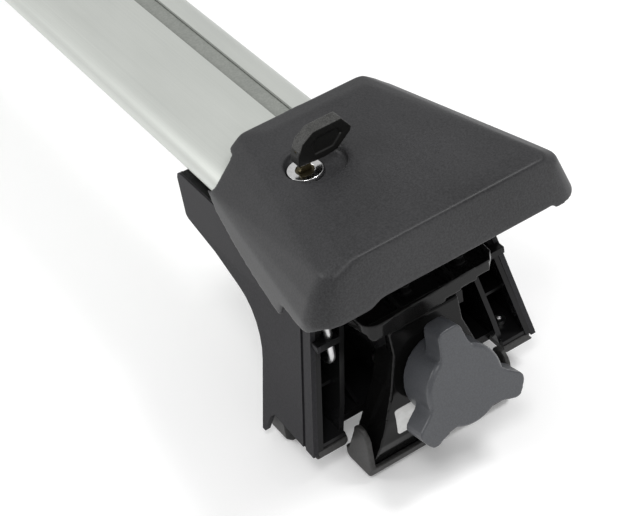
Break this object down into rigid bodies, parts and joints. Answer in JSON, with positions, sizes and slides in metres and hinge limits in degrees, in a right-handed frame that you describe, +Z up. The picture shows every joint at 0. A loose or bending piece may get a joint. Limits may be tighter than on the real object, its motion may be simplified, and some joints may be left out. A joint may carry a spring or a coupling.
{
  "type": "roof rack crossbar",
  "caption": "Roof rack crossbar: silver wing-profile bar with a T-slot on two dark plastic feet, each with a lockable lid, clamp arm and three-wing knob.",
  "frame": {"origin": "bottom centre of the part, under the middle of the bar, on the plane the inner pads stand on", "axes": "+X along the bar towards the right foot, +Y across the bar towards its round nose, +Z up"},
  "size_m": [1.2208, 0.1608, 0.1884],
  "materials": {
    "aluminium": "satin anodised",
    "strip_rubber": "matt",
    "moulded_plastic": "fine grain",
    "gloss_plastic": "glossy",
    "textured_plastic": "fine grain, matt",
    "rubber": "matt",
    "zinc_steel": "zinc plated",
    "chrome": "polished chrome",
    "brass": "dark, worn",
    "key_plastic": "matt",
    "coated_steel": "gloss black coating",
    "grey_plastic": "matt"
  },
  "bodies": {
    "frame": {"crossbar": "aluminium", "slot_strip": "strip_rubber", "right_foot_body": "moulded_plastic", "right_rail_pads": "rubber", "right_sole_pads": "rubber", "right_sole_screws": "zinc_steel", "right_front_tray": "gloss_plastic", "right_tray_screws": "zinc_steel", "right_nut_plate": "zinc_steel", "right_bar_bolts": "zinc_steel", "right_hinge_block": "moulded_plastic", "right_hinge_pin": "zinc_steel", "right_lock_catch": "zinc_steel", "right_arm_pin": "zinc_steel", "right_hex_key": "zinc_steel", "left_foot_body": "moulded_plastic", "left_rail_pads": "rubber", "left_sole_pads": "rubber", "left_sole_screws": "zinc_steel", "left_front_tray": "gloss_plastic", "left_tray_screws": "zinc_steel", "left_nut_plate": "zinc_steel", "left_bar_bolts": "zinc_steel", "left_hinge_block": "moulded_plastic", "left_hinge_pin": "zinc_steel", "left_lock_catch": "zinc_steel", "left_arm_pin": "zinc_steel", "left_hex_key": "zinc_steel"},
    "right_lid_group": {"right_lid": "textured_plastic", "right_lock_housing": "chrome"},
    "right_lock_group": {"right_lock_plug": "brass", "right_lock_cam": "zinc_steel", "right_cam_screw": "zinc_steel", "right_key_blade": "brass", "right_key_bow": "key_plastic"},
    "right_clamp_group": {"right_clamp_arm": "coated_steel", "right_jaw_boot": "rubber"},
    "right_knob_group": {"right_knob": "grey_plastic", "right_clamp_stud": "zinc_steel", "right_knob_washer": "zinc_steel"},
    "right_nut_group": {"right_trunnion_nut": "zinc_steel"},
    "left_lid_group": {"left_lid": "textured_plastic", "left_lock_housing": "chrome"},
    "left_lock_group": {"left_lock_plug": "brass", "left_lock_cam": "zinc_steel", "left_cam_screw": "zinc_steel", "left_key_blade": "brass", "left_key_bow": "key_plastic"},
    "left_clamp_group": {"left_clamp_arm": "coated_steel", "left_jaw_boot": "rubber"},
    "left_knob_group": {"left_knob": "grey_plastic", "left_clamp_stud": "zinc_steel", "left_knob_washer": "zinc_steel"},
    "left_nut_group": {"left_trunnion_nut": "zinc_steel"}
  },
  "joints": [
    {"name": "right_lid_hinge", "type": "hinge", "parent": "frame", "child": "right_lid_group", "pos_m": [0.465, -0.0015, 0.1595], "axis": [0, -1, 0], "range_deg": [0, 60]},
    {"name": "right_lock_turn", "type": "hinge", "parent": "right_lid_group", "child": "right_lock_group", "pos_m": [0.5145, -0.027, 0.1659], "axis": [0, 0, 1], "range_deg": [0, 90]},
    {"name": "right_knob_turn", "type": "hinge", "parent": "right_clamp_group", "child": "right_knob_group", "pos_m": [0.5805, -0.003, 0.058], "axis": [-0.9703, 0, -0.2419], "range_deg": [0, 1080]},
    {"name": "right_clamp_swing", "type": "hinge", "parent": "frame", "child": "right_clamp_group", "pos_m": [0.56, -0.003, 0.086], "axis": [0, 1, 0], "range_deg": [0, 6]},
    {"name": "right_nut_slide", "type": "slide", "parent": "right_clamp_group", "child": "right_nut_group", "axis": [0.9703, 0, 0.2419], "range_m": [0, 0.00376]},
    {"name": "left_lid_hinge", "type": "hinge", "parent": "frame", "child": "left_lid_group", "pos_m": [-0.465, -0.0015, 0.1595], "axis": [0, 1, 0], "range_deg": [0, 60]},
    {"name": "left_lock_turn", "type": "hinge", "parent": "left_lid_group", "child": "left_lock_group", "pos_m": [-0.5145, -0.027, 0.1659], "axis": [0, 0, -1], "range_deg": [0, 90]},
    {"name": "left_knob_turn", "type": "hinge", "parent": "left_clamp_group", "child": "left_knob_group", "pos_m": [-0.5805, -0.003, 0.058], "axis": [0.9703, 0, -0.2419], "range_deg": [0, 1080]},
    {"name": "left_clamp_swing", "type": "hinge", "parent": "frame", "child": "left_clamp_group", "pos_m": [-0.56, -0.003, 0.086], "axis": [0, -1, 0], "range_deg": [0, 6]},
    {"name": "left_nut_slide", "type": "slide", "parent": "left_clamp_group", "child": "left_nut_group", "axis": [-0.9703, 0, 0.2419], "range_m": [0, 0.00376]}
  ],
  "couplings": [
    {"joint": "right_clamp_swing", "follows": "right_knob_turn", "ratio": 0.005556},
    {"joint": "right_nut_slide", "follows": "right_knob_turn", "m_per_rad": 0.00019906},
    {"joint": "left_clamp_swing", "follows": "left_knob_turn", "ratio": 0.005556},
    {"joint": "left_nut_slide", "follows": "left_knob_turn", "m_per_rad": 0.00019906}
  ]
}
